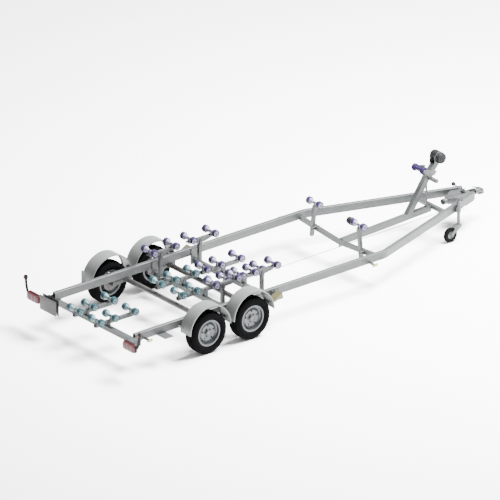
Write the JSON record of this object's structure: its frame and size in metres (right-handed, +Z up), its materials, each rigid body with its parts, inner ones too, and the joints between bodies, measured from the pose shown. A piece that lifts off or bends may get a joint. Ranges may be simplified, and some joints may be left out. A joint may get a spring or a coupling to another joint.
{
  "type": "boat trailer",
  "caption": "Galvanised boat trailer with two axles, swinging roller cradles, a winch post, an overrun coupling and a jockey wheel.",
  "frame": {"origin": "on the floor, below the middle of the whole length and width", "axes": "+X towards the coupling, +Y to the left side, +Z up"},
  "size_m": [7.33, 2.652, 1.282],
  "materials": {
    "galvanised_steel": "hot-dip galvanised, soft spangle",
    "axle_steel": "warm grey coating",
    "mudguard_steel": "pale grey zinc sheet",
    "rim_paint": "silver wheel paint",
    "tyre": "matt black rubber",
    "teal_roller": "smooth moulded roller rubber",
    "violet_roller": "smooth moulded roller rubber",
    "bow_roller": "smooth moulded roller rubber",
    "winch_steel": "zinc plated",
    "black_plastic": "black moulded plastic",
    "jockey_rubber": "black rubber on a pressed centre",
    "coupling_steel": "zinc plated",
    "rod_steel": "zinc plated",
    "red_lens": "clear red lens",
    "amber_lens": "amber lens",
    "chock_zinc": "yellow passivated zinc"
  },
  "bodies": {
    "root": {"axles": "axle_steel", "beam_left": "galvanised_steel", "beam_right": "galvanised_steel", "bogie_posts": "galvanised_steel", "brake_rod": "rod_steel", "coupling_head": "coupling_steel", "cross_cradle_front": "galvanised_steel", "cross_cradle_rear": "galvanised_steel", "cross_rear": "galvanised_steel", "cross_vee": "galvanised_steel", "front_posts": "galvanised_steel", "front_rollers": "violet_roller", "handbrake_lever": "black_plastic", "jockey_tube": "galvanised_steel", "keel_beam": "galvanised_steel", "lamp_housings": "black_plastic", "lamp_lenses": "red_lens", "light_brackets": "galvanised_steel", "mudguards": "mudguard_steel", "nose_frame": "galvanised_steel", "overrun_housing": "coupling_steel", "side_markers": "amber_lens", "wheel_chocks": "chock_zinc", "winch_cover": "black_plastic", "winch_frame": "galvanised_steel", "winch_post": "galvanised_steel"},
    "wheel_rear_left": {"rim_rear_left": "rim_paint", "tyre_rear_left": "tyre"},
    "wheel_rear_right": {"rim_rear_right": "rim_paint", "tyre_rear_right": "tyre"},
    "wheel_front_left": {"rim_front_left": "rim_paint", "tyre_front_left": "tyre"},
    "wheel_front_right": {"rim_front_right": "rim_paint", "tyre_front_right": "tyre"},
    "cradle_rear_left": {"cradle_arm_rear_left": "galvanised_steel", "cradle_rollers_rear_left": "teal_roller"},
    "cradle_rear_right": {"cradle_arm_rear_right": "galvanised_steel", "cradle_rollers_rear_right": "teal_roller"},
    "cradle_middle_left": {"cradle_arm_middle_left": "galvanised_steel", "cradle_rollers_middle_left": "teal_roller"},
    "cradle_middle_right": {"cradle_arm_middle_right": "galvanised_steel", "cradle_rollers_middle_right": "teal_roller"},
    "cradle_front_left": {"cradle_arm_front_left": "galvanised_steel", "cradle_rollers_front_left": "violet_roller"},
    "cradle_front_right": {"cradle_arm_front_right": "galvanised_steel", "cradle_rollers_front_right": "violet_roller"},
    "bogie_rear_left": {"bogie_arm_rear_left": "galvanised_steel", "bogie_rollers_rear_left": "violet_roller"},
    "bogie_rear_right": {"bogie_arm_rear_right": "galvanised_steel", "bogie_rollers_rear_right": "violet_roller"},
    "bogie_front_left": {"bogie_arm_front_left": "galvanised_steel", "bogie_rollers_front_left": "violet_roller"},
    "bogie_front_right": {"bogie_arm_front_right": "galvanised_steel", "bogie_rollers_front_right": "violet_roller"},
    "jockey_stem": {"jockey_stem": "galvanised_steel"},
    "jockey_fork": {"jockey_fork": "galvanised_steel"},
    "jockey_wheel": {"jockey_wheel": "jockey_rubber"},
    "winch_drum": {"winch_drum": "winch_steel"},
    "bow_roller": {"bow_roller": "bow_roller"}
  },
  "joints": [
    {"name": "wheel_rear_left_spin", "type": "hinge", "parent": "root", "child": "wheel_rear_left", "pos_m": [-2.292, 1.107, 0.3145], "axis": [0, 1, 0], "continuous": true},
    {"name": "wheel_rear_right_spin", "type": "hinge", "parent": "root", "child": "wheel_rear_right", "pos_m": [-2.292, -1.107, 0.3145], "axis": [0, 1, 0], "continuous": true},
    {"name": "wheel_front_left_spin", "type": "hinge", "parent": "root", "child": "wheel_front_left", "pos_m": [-1.507, 1.107, 0.3145], "axis": [0, 1, 0], "continuous": true},
    {"name": "wheel_front_right_spin", "type": "hinge", "parent": "root", "child": "wheel_front_right", "pos_m": [-1.507, -1.107, 0.3145], "axis": [0, 1, 0], "continuous": true},
    {"name": "cradle_rear_left_swing", "type": "hinge", "parent": "root", "child": "cradle_rear_left", "pos_m": [-3.35, 0.237, 0.46], "axis": [0, 1, 0], "range_deg": [-8, 8]},
    {"name": "cradle_rear_right_swing", "type": "hinge", "parent": "root", "child": "cradle_rear_right", "pos_m": [-3.35, -0.237, 0.46], "axis": [0, 1, 0], "range_deg": [-8, 8]},
    {"name": "cradle_middle_left_swing", "type": "hinge", "parent": "root", "child": "cradle_middle_left", "pos_m": [-1.603, 0.237, 0.46], "axis": [0, 1, 0], "range_deg": [-5, 8]},
    {"name": "cradle_middle_right_swing", "type": "hinge", "parent": "root", "child": "cradle_middle_right", "pos_m": [-1.603, -0.237, 0.46], "axis": [0, 1, 0], "range_deg": [-5, 8]},
    {"name": "cradle_front_left_swing", "type": "hinge", "parent": "root", "child": "cradle_front_left", "pos_m": [-0.897, 0.237, 0.46], "axis": [0, 1, 0], "range_deg": [-6, 8]},
    {"name": "cradle_front_right_swing", "type": "hinge", "parent": "root", "child": "cradle_front_right", "pos_m": [-0.897, -0.237, 0.46], "axis": [0, 1, 0], "range_deg": [-6, 8]},
    {"name": "bogie_rear_left_swing", "type": "hinge", "parent": "root", "child": "bogie_rear_left", "pos_m": [-1.658, 0.695, 0.716], "axis": [0, 1, 0], "range_deg": [-12, 12]},
    {"name": "bogie_rear_right_swing", "type": "hinge", "parent": "root", "child": "bogie_rear_right", "pos_m": [-1.658, -0.695, 0.716], "axis": [0, 1, 0], "range_deg": [-12, 12]},
    {"name": "bogie_front_left_swing", "type": "hinge", "parent": "root", "child": "bogie_front_left", "pos_m": [-0.952, 0.695, 0.716], "axis": [0, 1, 0], "range_deg": [-12, 12]},
    {"name": "bogie_front_right_swing", "type": "hinge", "parent": "root", "child": "bogie_front_right", "pos_m": [-0.952, -0.695, 0.716], "axis": [0, 1, 0], "range_deg": [-12, 12]},
    {"name": "jockey_lift", "type": "slide", "parent": "root", "child": "jockey_stem", "axis": [0, 0, 1], "range_m": [0, 0.14]},
    {"name": "jockey_swivel", "type": "hinge", "parent": "jockey_stem", "child": "jockey_fork", "pos_m": [2.905, -0.368, 0.245], "axis": [0, 0, 1], "continuous": true},
    {"name": "jockey_wheel_spin", "type": "hinge", "parent": "jockey_fork", "child": "jockey_wheel", "pos_m": [2.755, -0.368, 0.1125], "axis": [0, 1, 0], "continuous": true},
    {"name": "winch_spin", "type": "hinge", "parent": "root", "child": "winch_drum", "pos_m": [2.8, 0, 1.206], "axis": [0, 1, 0], "continuous": true},
    {"name": "bow_roller_spin", "type": "hinge", "parent": "root", "child": "bow_roller", "pos_m": [2.48, 0, 1.086], "axis": [0, 1, 0], "continuous": true}
  ]
}
